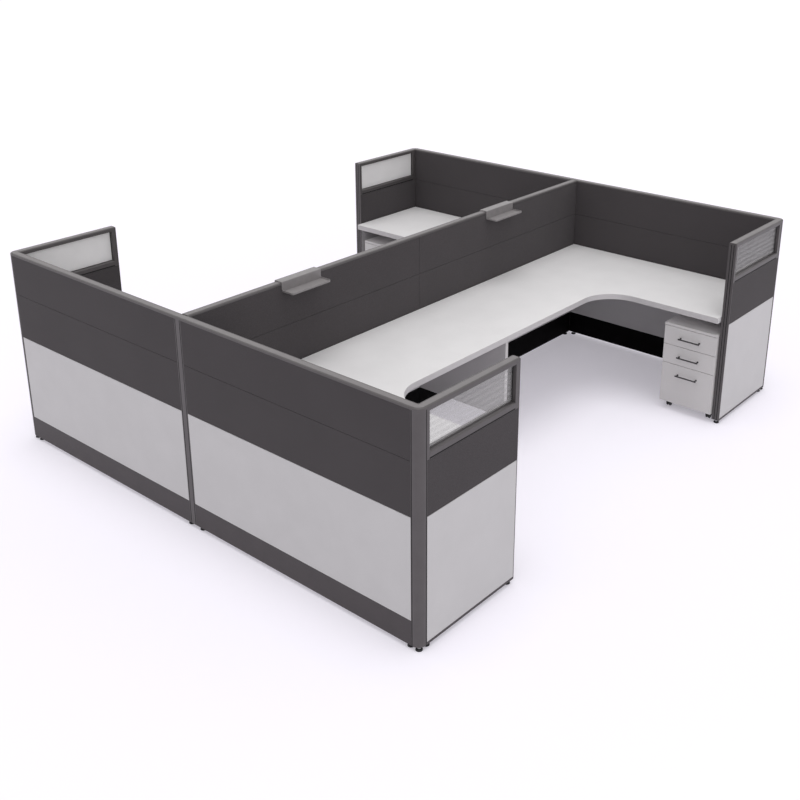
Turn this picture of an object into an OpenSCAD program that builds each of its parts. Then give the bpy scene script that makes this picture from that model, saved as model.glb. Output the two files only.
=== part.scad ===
// Four-place office workstation: a spine wall between two long walls, four window
// returns, curved worktops on both sides, two mobile drawer pedestals and two trays
// that hang on the spine. Millimetres, +Z up, origin on the floor under the centre.

/* [Walls] */
// Overall width along X
station_w = 3150; // [2900:10:3800]
// Overall depth along Y
station_d = 3600; // [3400:10:4200]
// Height of every wall
wall_h = 1200; // [1150:10:1500]
// Thickness of every wall, from tile face to tile face
wall_t = 50; // [46:1:70]
// Length of a short return, from the outer face of its long wall
return_l = 700; // [620:10:800]
// Gap between the floor and the underside of the walls
floor_gap = 24; // [20:1:50]
// Clearance where a frame stands beside a post
frame_clear = 0.3; // [0.1:0.1:1]

/* [Tiles] */
// Thickness of one tile
tile_t = 12; // [8:1:14]
// Height of the top of the outer raceway
base_top = 155; // [130:5:220]
// Height of the top of the inner raceway
inner_base_top = 180; // [130:5:220]
// Height of the joint between the lower tile and the middle tile
low_joint = 680; // [560:5:740]
// Height of the joint between the middle tile and the upper tile
high_joint = 950; // [900:5:980]
// Open line between two neighbouring tiles
tile_reveal = 1.5; // [1:0.5:4]
// Height of the dark base strip under the lower tile of a return
strip_h = 14; // [8:1:30]
// Sheet thickness of a raceway cover
cover_t = 1.5; // [1:0.1:3]

/* [Frames, posts and caps] */
// Width of the bars of the frames inside the walls
frame_bar = 20; // [14:1:30]
// Wall thickness of the hollow frame bars
bar_wall = 1.5; // [1:0.1:2.5]
// Radius of the outer edge of a corner post
post_round = 42; // [20:1:44]
// Wall thickness of the hollow posts
post_wall = 3; // [2:0.5:5]
// Width of the decorative groove down a post
groove_w = 3; // [1:0.5:5]
// Depth of the decorative groove down a post
groove_d = 1.5; // [0.5:0.5:2]
// Distance from the groove to the edge of the post's face
groove_inset = 6; // [4:1:10]
// Thickness of the trim that closes the free end of a return
end_trim_t = 4; // [3:1:10]
// Thickness of the top caps
cap_t = 12; // [7:1:16]
// Width of the top caps
cap_w = 50; // [40:1:60]
// Radius of the shoulders of the top caps
cap_round = 6; // [2:0.5:6]
// Open line where two top caps meet
cap_joint = 0.5; // [0.3:0.1:1]

/* [Windows] */
// Width of the window bar on the low-Y side of a return
stile_low = 16; // [15:1:40]
// Width of the window bar on the high-Y side of a return
stile_high = 26; // [20:1:80]
// Height of the window bar under the pane
sill_h = 36; // [30:1:60]
// Height of the window bar over the pane
head_h = 12; // [11:1:40]
// Thickness of the pane
pane_t = 6; // [4:0.5:8]
// Depth by which the pane enters its bars
pane_bite = 8; // [5:1:10]
// Clearance round the pane in its groove
pane_clear = 0.3; // [0.2:0.1:0.8]
// Open line where two window bars meet
bar_gap = 0.2; // [0.1:0.1:0.5]

/* [Worktops] */
// Height of the worktop's upper face
worktop_z = 720; // [680:5:780]
// Thickness of the worktop
worktop_t = 36; // [25:1:40]
// Depth of the worktop along the spine
spine_leg = 685; // [600:5:760]
// Depth of the worktop along the long walls
wall_leg = 690; // [600:5:760]
// Radius of the inner curve
curve_r = 230; // [120:5:300]
// Clearance between a worktop and the wall beside it
worktop_clear = 4; // [1:0.5:6]
// Open line between the two boards of one side
worktop_seam = 0.6; // [0.4:0.1:2]
// Thickness of the edge band
band_t = 2; // [1:0.5:3]
// Glue line between an edge band and its board
glue_line = 0.1; // [0.05:0.05:0.2]

/* [Supports] */
// Thickness of a support gable
gable_t = 25; // [18:1:36]
// Height of the underside of a support gable
gable_low = 190; // [175:5:300]
// Distance from the gable's front to the worktop's front
gable_setback = 5; // [0:1:60]
// Length of a cantilever bracket
arm_l = 450; // [300:10:540]
// Width of a bracket's flanges
arm_w = 40; // [30:1:60]
// Height of a bracket at the wall
arm_h = 70; // [50:1:75]
// Height of a bracket at its tip
arm_tip_h = 15; // [10:1:30]
// Steel thickness of the brackets
steel_t = 3; // [2:0.5:5]
// Distance from a wall bracket to the return beside it
wall_arm_inset = 200; // [100:10:400]
// Distance from a spine bracket to the long wall beside it
spine_arm_inset = 430; // [300:10:900]
// Length of the angle that carries the worktop's outer end
angle_l = 380; // [200:10:500]
// Leg of the angles
angle_leg = 30; // [20:1:40]

/* [Feet] */
// Radius of a levelling foot's pad
foot_r = 17; // [12:1:22]
// Radius of the pad's upper edge
foot_top_r = 14; // [8:1:20]
// Height of a levelling foot's pad
foot_h = 10; // [6:1:14]
// Radius of a levelling foot's stem
foot_stem_r = 6; // [4:0.5:8]
// Distance from a post to the foot beside it
foot_inset = 22; // [20:1:200]
// Thickness of the plate that closes a corner post over its foot
foot_plate_t = 4; // [2:1:8]

/* [Pedestals] */
// Width of a pedestal
ped_w = 360; // [320:5:420]
// Depth of a pedestal with its drawer fronts
ped_d = 550; // [480:5:600]
// Height of a pedestal
ped_h = 600; // [560:5:605]
// Height of the castors under the case
castor_h = 55; // [52:1:70]
// Thickness of the case boards
board_t = 16; // [12:1:19]
// Glue line between two boards
board_gap = 0.2; // [0.1:0.1:0.4]
// Thickness of the drawer fronts
front_t = 18; // [14:1:22]
// Height of a small drawer's front
small_front_h = 124; // [115:1:130]
// Open line round a drawer front
front_reveal = 3; // [2:0.5:5]
// Clearance between a closed drawer front and the case
front_clear = 1; // [0.5:0.5:3]
// Distance from the right pedestal to its return
right_ped_gap = 4; // [2:1:200]
// Distance from the left pedestal to its return
left_ped_gap = 58; // [2:1:200]
// Distance from the worktop's front edge to the drawer fronts
ped_setback = 20; // [0:1:60]

/* [Drawers] */
// Board thickness of the drawer boxes
box_t = 12; // [9:1:15]
// Thickness of a drawer's bottom
box_floor_t = 6; // [4:1:9]
// Length of a drawer box
box_l = 490; // [400:5:500]
// Distance from the top of a front to the top of its drawer box
box_drop = 19; // [12:1:30]
// Distance from the lower edge of a front to its box
box_lift = 20; // [17:1:24]
// Height of a runner
runner_h = 34; // [28:1:40]
// Depth of a runner across the drawer
runner_t = 11; // [9:1:13]
// Sheet thickness of a runner
runner_wall = 1.5; // [1:0.5:2.5]
// Clearance of a rail in its runner
rail_clear = 0.4; // [0.3:0.1:0.8]
// Clearance between a drawer box and the runner's edge
side_clear = 1; // [0.5:0.5:2]
// Distance from the drawer box's underside to the runner
runner_lift = 14; // [8:1:20]
// Length of the handle bar
handle_l = 146; // [96:1:200]
// Radius of the handle bar
handle_r = 5; // [3:0.5:7]
// Distance from the front to the handle bar's axis
handle_out = 24; // [16:1:32]
// Distance between the handle's two posts
handle_pitch = 128; // [64:1:180]
// Radius of the handle's posts
handle_post_r = 4; // [2.5:0.5:5]
// Distance from the top of a front to the handle
handle_drop = 66; // [40:1:90]

/* [Castors] */
// Radius of a castor wheel
wheel_r = 20; // [16:0.5:20]
// Width of one of the twin wheels
wheel_w = 9; // [6:0.5:12]
// Distance from the swivel axis to the wheel axle
castor_trail = 12; // [8:0.5:16]
// Distance from the swivel axis to the pedestal's sides
castor_inset = 40; // [36:1:70]
// Thickness of the block between the twin wheels
fork_t = 8; // [6:0.5:12]
// Clearance between a wheel and the block
wheel_clear = 0.5; // [0.3:0.1:1]
// Radius of the axle
axle_r = 3; // [2:0.5:4]
// Radius of the block round the axle
hub_r = 8; // [6:0.5:10]
// Distance from the swivel axis to the block's back edge
block_back = 9; // [6:0.5:11]
// Radial clearance of the axle and of the stem
bore_clear = 0.1; // [0.05:0.05:0.3]
// Radius of the swivel flange
swivel_r = 15; // [11:0.5:18]
// Height of the swivel flange
swivel_h = 8; // [5:0.5:9]
// Clearance between the swivel flange and the case
swivel_clear = 0.4; // [0.3:0.1:1]
// Radius of the castor's stem
stem_r = 5; // [3.5:0.5:6]
// Length of the stem inside the case's bottom board
stem_l = 11; // [6:0.5:11]

/* [Trays] */
// Length of a tray along the spine
tray_l = 290; // [200:5:360]
// Depth of a tray's shelf
tray_d = 85; // [60:1:120]
// Sheet thickness of a tray
tray_t = 3; // [1.5:0.5:4]
// Thickness of the saddle that lies on the spine's top cap
saddle_t = 6; // [3:0.5:8]
// Distance from the top of the wall to the shelf
tray_drop = 50; // [35:1:80]
// Height of the rim round the shelf
tray_rim = 8; // [4:1:20]
// Radius of the shelf's outer corners
tray_round = 16; // [6:1:30]
// Height of the hook behind the spine
tray_hook = 16; // [8:1:30]
// Clearance between a tray and the wall
tray_clear = 0.5; // [0.3:0.1:1.5]
// Place of the near tray along the spine
near_tray_y = -985; // [-1200:5:-600]
// Place of the far tray along the spine
far_tray_y = 815; // [600:5:1200]

/* [Hidden] */
$fn = 64;
// Length by which a cut runs past a face, or one solid into the next of the same piece
eps = 1;
hw = station_w / 2;
hd = station_d / 2;
post_top = wall_h - cap_t;
frame_d = wall_t - 2 * tile_t;
bay_l = hw - 1.5 * wall_t;
spine_bay = hd - wall_t;
return_bay = return_l - wall_t - end_trim_t;
window_l = return_bay - stile_low - stile_high;
window_h = post_top - high_joint - sill_h - head_h;
underside_z = worktop_z - worktop_t;
face_x = wall_t / 2;
return_in_x = hw - wall_t;
wall_in_y = hd - wall_t;
return_end_y = hd - return_l;
ped_front_y = wall_in_y - wall_leg + ped_setback;
right_ped_x = return_in_x - right_ped_gap - ped_w / 2;
left_ped_x = -(return_in_x - left_ped_gap - ped_w / 2);
case_y = front_t + front_clear;
inner_w = ped_w - 2 * board_t;
box_w = inner_w - 2 * (runner_t + side_clear);
front_tops = [for (i = [0 : 2]) ped_h - board_t - front_reveal - i * (small_front_h + front_reveal)];
front_lows = [front_tops[0] - small_front_h, front_tops[1] - small_front_h, castor_h + front_reveal];
box_hs = [for (i = [0 : 2]) front_tops[i] - front_lows[i] - box_lift - box_drop];
castor_axle_z = wheel_r;
swivel_low = castor_h - swivel_clear - swivel_h;

post_grey = [0.37, 0.355, 0.36];
cap_grey = [0.54, 0.525, 0.53];
dark_grey = [0.27, 0.265, 0.27];
light_grey = [0.74, 0.73, 0.735];
raceway_black = [0.03, 0.03, 0.03];
raceway_grey = [0.30, 0.285, 0.29];
board_white = [0.83, 0.825, 0.83];
edge_white = [0.72, 0.70, 0.705];
glass_grey = [0.72, 0.73, 0.74, 0.6];
steel_grey = [0.55, 0.55, 0.56];
ped_grey = [0.69, 0.67, 0.675];
handle_dark = [0.25, 0.24, 0.25];
wheel_black = [0.06, 0.06, 0.06];
tray_grey = [0.66, 0.65, 0.655];

// Copies a shape drawn at +X to -X as well
module both_sides() {
    children();
    mirror([1, 0, 0]) children();
}

// Copies a shape drawn at -Y to +Y as well
module both_ends() {
    children();
    mirror([0, 1, 0]) children();
}

// Copies a shape drawn in the +X -Y quarter to all four quarters
module four_ways() {
    both_sides() both_ends() children();
}

// Outline of a square post with its outer edge rounded, the outer edge at (size, size)
module corner_plan(size, r) {
    difference() {
        square(size);
        translate([size - r, size - r])
            difference() {
                square(r + eps);
                circle(r);
            }
    }
}

// Bars of a ladder frame drawn in the plane, each bar made thinner by inset on both sides
module ladder_plan(length, top, bars, inset) {
    bar = frame_bar - 2 * inset;
    difference() {
        translate([inset, floor_gap + inset])
            square([length - 2 * inset, top - floor_gap - 2 * inset]);
        for (i = [0 : len(bars) - 2])
            translate([frame_bar - inset, bars[i] + bar / 2])
                square([length - 2 * (frame_bar - inset), bars[i + 1] - bars[i] - bar]);
    }
}

// Welded ladder frame of hollow bars drawn in X and Z, from x = 0
module ladder(length, top, bars) {
    rotate([90, 0, 0])
        difference() {
            linear_extrude(frame_d, center = true) ladder_plan(length, top, bars, 0);
            linear_extrude(frame_d - 2 * bar_wall, center = true)
                ladder_plan(length, top, bars, bar_wall);
        }
}

module panel_frames() {
    low_bar = floor_gap + frame_bar / 2;
    high_bars = [low_joint, high_joint, post_top - frame_bar / 2];
    wall_bars = concat([low_bar, base_top], high_bars);
    spine_bars = concat([low_bar, inner_base_top], high_bars);
    return_bars = [low_bar, base_top, low_joint, high_joint - frame_bar / 2];
    color(steel_grey) {
        four_ways()
            translate([face_x + frame_clear, -hd + wall_t / 2, 0])
                ladder(bay_l - 2 * frame_clear, post_top, wall_bars);
        both_ends()
            translate([0, -wall_in_y + frame_clear, 0])
                rotate([0, 0, 90]) ladder(spine_bay - 2 * frame_clear, post_top, spine_bars);
        four_ways()
            translate([hw - wall_t / 2, -wall_in_y + frame_clear, 0])
                rotate([0, 0, 90]) ladder(return_bay - frame_clear, high_joint, return_bars);
    }
}

module corner_posts() {
    post_h = post_top - floor_gap;
    color(post_grey)
        four_ways()
            translate([return_in_x, -wall_in_y, floor_gap])
                mirror([0, 1, 0])
                    difference() {
                        linear_extrude(post_h)
                            difference() {
                                corner_plan(wall_t, post_round);
                                translate([wall_t - groove_d, groove_inset - groove_w])
                                    square([groove_d + eps, groove_w]);
                                translate([groove_inset - groove_w, wall_t - groove_d])
                                    square([groove_w, groove_d + eps]);
                            }
                        translate([post_wall, post_wall, foot_plate_t])
                            linear_extrude(post_h)
                                corner_plan(wall_t - 2 * post_wall, post_round - post_wall);
                    }
}

module junction_posts() {
    color(post_grey)
        both_ends()
            translate([-wall_t / 2, -hd, floor_gap])
                linear_extrude(post_top - floor_gap)
                    difference() {
                        square(wall_t);
                        translate([post_wall, post_wall]) square(wall_t - 2 * post_wall);
                        for (x = [groove_inset, wall_t - groove_inset - groove_w])
                            translate([x, -eps]) square([groove_w, groove_d + eps]);
                    }
}

module end_trims() {
    color(post_grey)
        four_ways()
            translate([return_in_x, -return_end_y - end_trim_t, floor_gap])
                difference() {
                    cube([wall_t, end_trim_t, post_top - floor_gap]);
                    for (x = [wall_t / 3, 2 * wall_t / 3])
                        translate([x - groove_w / 2, end_trim_t - groove_d, -eps])
                            cube([groove_w, groove_d + eps, wall_h]);
                }
}

// Cross-section of a top cap with round shoulders, standing on y = 0
module cap_section() {
    translate([-cap_w / 2, 0]) square([cap_w, cap_t - cap_round]);
    translate([-cap_w / 2 + cap_round, 0]) square([cap_w - 2 * cap_round, cap_t]);
    for (side = [-1, 1])
        translate([side * (cap_w / 2 - cap_round), cap_t - cap_round])
            intersection() {
                circle(cap_round);
                translate([-cap_round, 0]) square([2 * cap_round, cap_round]);
            }
}

// Top cap along +Y from the origin
module cap_bar(length) {
    translate([0, length, 0])
        rotate([90, 0, 0]) linear_extrude(length) cap_section();
}

module perimeter_caps() {
    corner_side = (wall_t + cap_w) / 2;
    color(cap_grey)
        translate([0, 0, post_top]) {
            both_ends()
                translate([-return_in_x + cap_joint, -hd + wall_t / 2, 0])
                    rotate([0, 0, -90]) cap_bar(2 * (return_in_x - cap_joint));
            four_ways()
                translate([hw - wall_t / 2, -wall_in_y + cap_joint, 0])
                    cap_bar(return_l - wall_t - cap_joint);
            four_ways()
                translate([return_in_x, -wall_in_y, 0])
                    mirror([0, 1, 0])
                        linear_extrude(cap_t) corner_plan(corner_side, post_round);
        }
}

module spine_cap() {
    cap_end = wall_in_y - cap_joint;
    color(cap_grey)
        translate([0, -cap_end, post_top]) cap_bar(2 * cap_end);
}

// Tile on a face that looks along Y, from x = 0 and y = 0
module wall_tile(length, low, high) {
    translate([tile_reveal / 2, 0, low + tile_reveal / 2])
        cube([length - tile_reveal, tile_t, high - low - tile_reveal]);
}

// Tile on a face that looks along X, from x = 0 and y = 0
module side_tile(length, low, high) {
    translate([0, tile_reveal / 2, low + tile_reveal / 2])
        cube([tile_t, length - tile_reveal, high - low - tile_reveal]);
}

module outer_dark_tiles() {
    color(dark_grey)
        four_ways() {
            translate([face_x, -hd, 0]) {
                wall_tile(bay_l, low_joint, high_joint);
                wall_tile(bay_l, high_joint, post_top);
            }
            translate([hw - tile_t, -wall_in_y, 0])
                side_tile(return_bay, low_joint, high_joint);
        }
}

module light_tiles() {
    strip_top = floor_gap + strip_h;
    color(light_grey)
        four_ways() {
            translate([face_x, -hd, 0]) wall_tile(bay_l, base_top, low_joint);
            translate([face_x, -wall_in_y - tile_t, 0])
                wall_tile(bay_l, inner_base_top, low_joint);
            translate([face_x - tile_t, -wall_in_y, 0])
                side_tile(spine_bay, inner_base_top, low_joint);
            for (x = [hw - tile_t, return_in_x])
                translate([x, -wall_in_y, 0]) side_tile(return_bay, strip_top, low_joint);
        }
}

module inner_wall_tiles() {
    color(dark_grey)
        four_ways()
            translate([face_x, -wall_in_y - tile_t, 0]) {
                wall_tile(bay_l, low_joint, high_joint);
                wall_tile(bay_l, high_joint, post_top);
            }
}

module spine_tiles() {
    color(dark_grey)
        four_ways()
            translate([face_x - tile_t, -wall_in_y, 0]) {
                side_tile(spine_bay, low_joint, high_joint);
                side_tile(spine_bay, high_joint, post_top);
            }
}

module inner_return_tiles() {
    color(dark_grey)
        four_ways()
            translate([return_in_x, -wall_in_y, 0])
                side_tile(return_bay, low_joint, high_joint);
}

// Places a window, drawn along +Y from the origin, in each of the four returns
module at_windows() {
    both_sides()
        for (y = [-wall_in_y, return_end_y + end_trim_t])
            translate([hw - wall_t / 2, y, high_joint]) children();
}

// Block as large as the pane with extra room on every side
module pane_block(extra) {
    reach = pane_bite + extra;
    translate([-pane_t / 2 - extra, stile_low - reach, sill_h - reach])
        cube([pane_t + 2 * extra, window_l + 2 * reach, window_h + 2 * reach]);
}

module window_frames() {
    frame_h = post_top - high_joint;
    groove_depth = pane_bite + pane_clear;
    hollow_w = wall_t - 2 * post_wall;
    color(post_grey)
        at_windows()
            difference() {
                translate([-wall_t / 2, 0, 0]) {
                    cube([wall_t, stile_low, frame_h]);
                    translate([0, stile_low + window_l, 0]) cube([wall_t, stile_high, frame_h]);
                    translate([0, stile_low + bar_gap, 0])
                        cube([wall_t, window_l - 2 * bar_gap, sill_h]);
                    translate([0, stile_low + bar_gap, frame_h - head_h])
                        cube([wall_t, window_l - 2 * bar_gap, head_h]);
                }
                pane_block(pane_clear);
                translate([-hollow_w / 2, stile_low, post_wall])
                    cube([hollow_w, window_l, sill_h - groove_depth - 2 * post_wall]);
                translate([-hollow_w / 2, stile_low + window_l + groove_depth + post_wall, -eps])
                    cube([hollow_w, stile_high - groove_depth - 2 * post_wall, frame_h + 2 * eps]);
            }
}

module window_panes() {
    color(glass_grey) at_windows() pane_block(0);
}

// Folded cover with its face towards -Y, from x = 0 and y = 0
module cover(length, top) {
    cover_h = top - floor_gap - tile_reveal / 2;
    translate([tile_reveal / 2, 0, floor_gap])
        difference() {
            cube([length - tile_reveal, tile_t, cover_h]);
            translate([-eps, cover_t, cover_t])
                cube([length + 2 * eps, tile_t, cover_h - 2 * cover_t]);
        }
}

module outer_raceway_covers() {
    color(raceway_grey)
        four_ways() {
            translate([face_x, -hd, 0]) cover(bay_l, base_top);
            for (x = [hw - tile_t, return_in_x])
                translate([x, -wall_in_y + tile_reveal / 2, floor_gap])
                    cube([tile_t, return_bay - tile_reveal, strip_h]);
        }
}

module inner_raceway_covers() {
    color(raceway_black)
        four_ways() {
            translate([face_x, -wall_in_y, 0])
                mirror([0, 1, 0]) cover(bay_l, inner_base_top);
            translate([face_x, -wall_in_y, 0])
                rotate([0, 0, 90]) cover(spine_bay, inner_base_top);
        }
}

module foot() {
    cylinder(h = foot_h, r1 = foot_r, r2 = foot_top_r);
    translate([0, 0, foot_h]) cylinder(h = floor_gap - foot_h, r = foot_stem_r);
}

module levelling_feet() {
    mid_x = hw - wall_t / 2;
    mid_y = hd - wall_t / 2;
    half_post = wall_t / 2;
    color(wheel_black) {
        four_ways() {
            translate([mid_x - half_post - foot_inset, -mid_y, 0]) foot();
            translate([half_post + foot_inset, -mid_y, 0]) foot();
            translate([mid_x, -mid_y + half_post + foot_inset, 0]) foot();
            translate([mid_x, -return_end_y - end_trim_t - foot_r, 0]) foot();
        }
        both_ends() {
            translate([0, -mid_y + half_post + foot_inset, 0]) foot();
            translate([0, -foot_inset, 0]) foot();
        }
        four_ways() translate([mid_x, -mid_y, 0]) foot();
    }
}

// Plan of one worktop board in the +X -Y quarter, its front edge moved back by inset
module worktop_plan(inset) {
    back_x = face_x + worktop_clear;
    back_y = -wall_in_y + worktop_clear;
    front_x = face_x + spine_leg - inset;
    front_y = -wall_in_y + wall_leg - inset;
    r = curve_r + inset;
    difference() {
        translate([back_x, back_y])
            square([return_in_x - worktop_clear - back_x, -worktop_seam / 2 - back_y]);
        translate([front_x + r, front_y]) square([hw, hd]);
        translate([front_x, front_y + r]) square([hw, hd]);
        translate([front_x + r, front_y + r]) circle(r);
    }
}

module worktops() {
    color(board_white)
        four_ways()
            translate([0, 0, underside_z])
                linear_extrude(worktop_t) worktop_plan(band_t + glue_line);
}

module edge_bands() {
    gable_front = face_x + spine_leg - gable_setback;
    color(edge_white) {
        four_ways()
            translate([0, 0, underside_z])
                linear_extrude(worktop_t)
                    difference() {
                        worktop_plan(0);
                        worktop_plan(band_t);
                    }
        both_sides()
            translate([gable_front - band_t, -gable_t / 2, gable_low])
                cube([band_t, gable_t, underside_z - gable_low]);
    }
}

module support_gables() {
    gable_l = spine_leg - gable_setback - band_t - glue_line - frame_clear;
    color(edge_white)
        both_sides()
            translate([face_x + frame_clear, -gable_t / 2, gable_low])
                cube([gable_l, gable_t, underside_z - gable_low]);
}

// Cantilever bracket along +X from a wall face at x = 0, its upper face at z = 0
module arm() {
    translate([0, -arm_w / 2, -steel_t]) cube([arm_l, arm_w, steel_t]);
    translate([0, -arm_w / 2, -arm_h]) cube([steel_t, arm_w, arm_h]);
    translate([0, steel_t / 2, 0])
        rotate([90, 0, 0])
            linear_extrude(steel_t)
                polygon([[0, 0], [arm_l, 0], [arm_l, -arm_tip_h], [0, -arm_h]]);
}

module worktop_brackets() {
    angle_y = -wall_in_y + (wall_leg - angle_l) / 2;
    gable_angle_low = gable_low + 2 * angle_leg;
    gable_angle_h = underside_z - 2 * angle_leg - gable_angle_low;
    color(steel_grey) {
        four_ways()
            translate([0, 0, underside_z]) {
                translate([face_x, -wall_in_y + spine_arm_inset, 0]) arm();
                translate([return_in_x - wall_arm_inset, -wall_in_y, 0])
                    rotate([0, 0, 90]) arm();
                translate([return_in_x - angle_leg, angle_y, -steel_t])
                    cube([angle_leg, angle_l, steel_t]);
                translate([return_in_x - steel_t, angle_y, -angle_leg])
                    cube([steel_t, angle_l, angle_leg]);
            }
        both_sides()
            translate([face_x, gable_t / 2, gable_angle_low]) {
                cube([angle_leg, steel_t, gable_angle_h]);
                cube([steel_t, angle_leg, gable_angle_h]);
            }
    }
}

// Plan of a tray's shelf with round outer corners, out from x = 0 and along Y
module shelf_plan(inset) {
    side_y = tray_l / 2 - inset;
    out_x = tray_d - inset;
    r = tray_round - inset;
    translate([0, -side_y]) square([out_x - r, 2 * side_y]);
    translate([0, -side_y + r]) square([out_x, 2 * (side_y - r)]);
    for (side = [-1, 1])
        translate([out_x - r, side * (side_y - r)]) circle(r);
}

// Tray hooked over the spine's top cap, its shelf on the +X side
module tray() {
    in_x = max(wall_t, cap_w) / 2 + tray_clear;
    shelf_z = wall_h - tray_drop;
    top_z = wall_h + tray_clear;
    color(tray_grey) {
        translate([-in_x - tray_t, -tray_l / 2, top_z])
            cube([2 * (in_x + tray_t), tray_l, saddle_t]);
        translate([-in_x - tray_t, -tray_l / 2, wall_h - tray_hook])
            cube([tray_t, tray_l, tray_hook + tray_clear + saddle_t]);
        translate([in_x, -tray_l / 2, shelf_z])
            cube([tray_t, tray_l, tray_drop + tray_clear + saddle_t]);
        translate([in_x, 0, shelf_z]) linear_extrude(tray_t) shelf_plan(0);
        translate([in_x, 0, shelf_z])
            linear_extrude(tray_t + tray_rim)
                difference() {
                    shelf_plan(0);
                    shelf_plan(tray_t);
                }
    }
}

module near_tray() {
    translate([0, near_tray_y, 0]) tray();
}

module far_tray() {
    translate([0, far_tray_y, 0]) tray();
}

// Moves a pedestal, drawn round x = 0 with its fronts at y = 0, to its place
module at_pedestal(side) {
    translate([side > 0 ? right_ped_x : left_ped_x, ped_front_y, 0]) children();
}

// Swivel axis of castor i, seen from a pedestal
function castor_spot(i) = [
    (i % 2 == 0 ? -1 : 1) * (ped_w / 2 - castor_inset),
    i < 2 ? case_y + castor_inset : ped_d - castor_inset
];

module case(side) {
    low = castor_h + board_t + board_gap;
    high = ped_h - board_t - board_gap;
    color(ped_grey)
        at_pedestal(side) {
            difference() {
                translate([-ped_w / 2, case_y, castor_h]) cube([ped_w, ped_d - case_y, board_t]);
                for (i = [0 : 3])
                    translate([castor_spot(i).x, castor_spot(i).y, castor_h - eps])
                        cylinder(h = stem_l + bore_clear + eps, r = stem_r + bore_clear);
            }
            translate([-ped_w / 2, 0, ped_h - board_t]) cube([ped_w, ped_d, board_t]);
            for (x = [-ped_w / 2, ped_w / 2 - board_t])
                translate([x, case_y, low]) cube([board_t, ped_d - case_y, high - low]);
            translate([-inner_w / 2 + board_gap, ped_d - board_t, low])
                cube([inner_w - 2 * board_gap, board_t, high - low]);
        }
}

// Fixed runner on the inner face of the case at +X, open towards the drawer
module runner() {
    difference() {
        translate([-runner_t, 0, 0]) cube([runner_t, box_l, runner_h]);
        translate([-runner_t - eps, -eps, runner_wall])
            cube([runner_t - runner_wall + eps, box_l + 2 * eps, runner_h - 2 * runner_wall]);
    }
}

module runners(side) {
    color(steel_grey)
        at_pedestal(side)
            for (i = [0 : 2])
                both_sides()
                    translate([inner_w / 2, case_y, front_lows[i] + box_lift + runner_lift])
                        runner();
}

module drawer_box(side, i) {
    low = front_lows[i] + box_lift;
    rail_low = low + runner_lift + runner_wall + rail_clear;
    rail_h = runner_h - 2 * (runner_wall + rail_clear);
    rail_out = inner_w / 2 - runner_wall - rail_clear;
    wall_low = low + box_floor_t + board_gap;
    wall_height = box_hs[i] - box_floor_t - board_gap;
    color(board_white)
        at_pedestal(side)
            translate([0, front_t, 0]) {
                translate([-box_w / 2, 0, low]) cube([box_w, box_l, box_floor_t]);
                both_sides() {
                    translate([box_w / 2 - box_t, 0, wall_low]) cube([box_t, box_l, wall_height]);
                    translate([box_w / 2 - eps, 0, rail_low])
                        cube([rail_out - box_w / 2 + eps, box_l, rail_h]);
                }
                for (y = [0, box_l - box_t])
                    translate([-box_w / 2 + box_t + board_gap, y, wall_low])
                        cube([box_w - 2 * (box_t + board_gap), box_t, wall_height]);
            }
}

module drawer_front(side, i) {
    color(ped_grey)
        at_pedestal(side)
            translate([-ped_w / 2, 0, front_lows[i]])
                cube([ped_w, front_t, front_tops[i] - front_lows[i]]);
}

module handle(side, i) {
    color(handle_dark)
        at_pedestal(side)
            translate([0, 0, front_tops[i] - handle_drop]) {
                translate([-handle_l / 2, -handle_out, 0])
                    rotate([0, 90, 0]) cylinder(h = handle_l, r = handle_r);
                for (x = [-handle_pitch / 2, handle_pitch / 2])
                    translate([x, 0, 0])
                        rotate([90, 0, 0]) cylinder(h = handle_out, r = handle_post_r);
            }
}

module fork(side, i) {
    color(wheel_black)
        at_pedestal(side)
            translate([castor_spot(i).x, castor_spot(i).y, 0]) {
                translate([0, 0, swivel_low]) cylinder(h = swivel_h, r = swivel_r);
                translate([0, 0, swivel_low]) cylinder(h = castor_h + stem_l - swivel_low, r = stem_r);
                difference() {
                    translate([-fork_t / 2, 0, 0])
                        rotate([90, 0, 90])
                            linear_extrude(fork_t) {
                                translate([castor_trail, castor_axle_z]) circle(hub_r);
                                polygon([
                                    [-block_back, swivel_low + eps],
                                    [castor_trail + hub_r, swivel_low + eps],
                                    [castor_trail + hub_r, castor_axle_z],
                                    [castor_trail - hub_r, castor_axle_z]
                                ]);
                            }
                    translate([-fork_t, castor_trail, castor_axle_z])
                        rotate([0, 90, 0]) cylinder(h = 2 * fork_t, r = axle_r + bore_clear);
                }
            }
}

module wheels(side, i) {
    half_l = fork_t / 2 + wheel_clear + wheel_w;
    color(wheel_black)
        at_pedestal(side)
            translate([castor_spot(i).x, castor_spot(i).y + castor_trail, castor_axle_z]) {
                translate([-half_l, 0, 0]) rotate([0, 90, 0]) cylinder(h = 2 * half_l, r = axle_r);
                both_sides()
                    translate([fork_t / 2 + wheel_clear, 0, 0])
                        rotate([0, 90, 0]) cylinder(h = wheel_w, r = wheel_r);
            }
}

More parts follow.
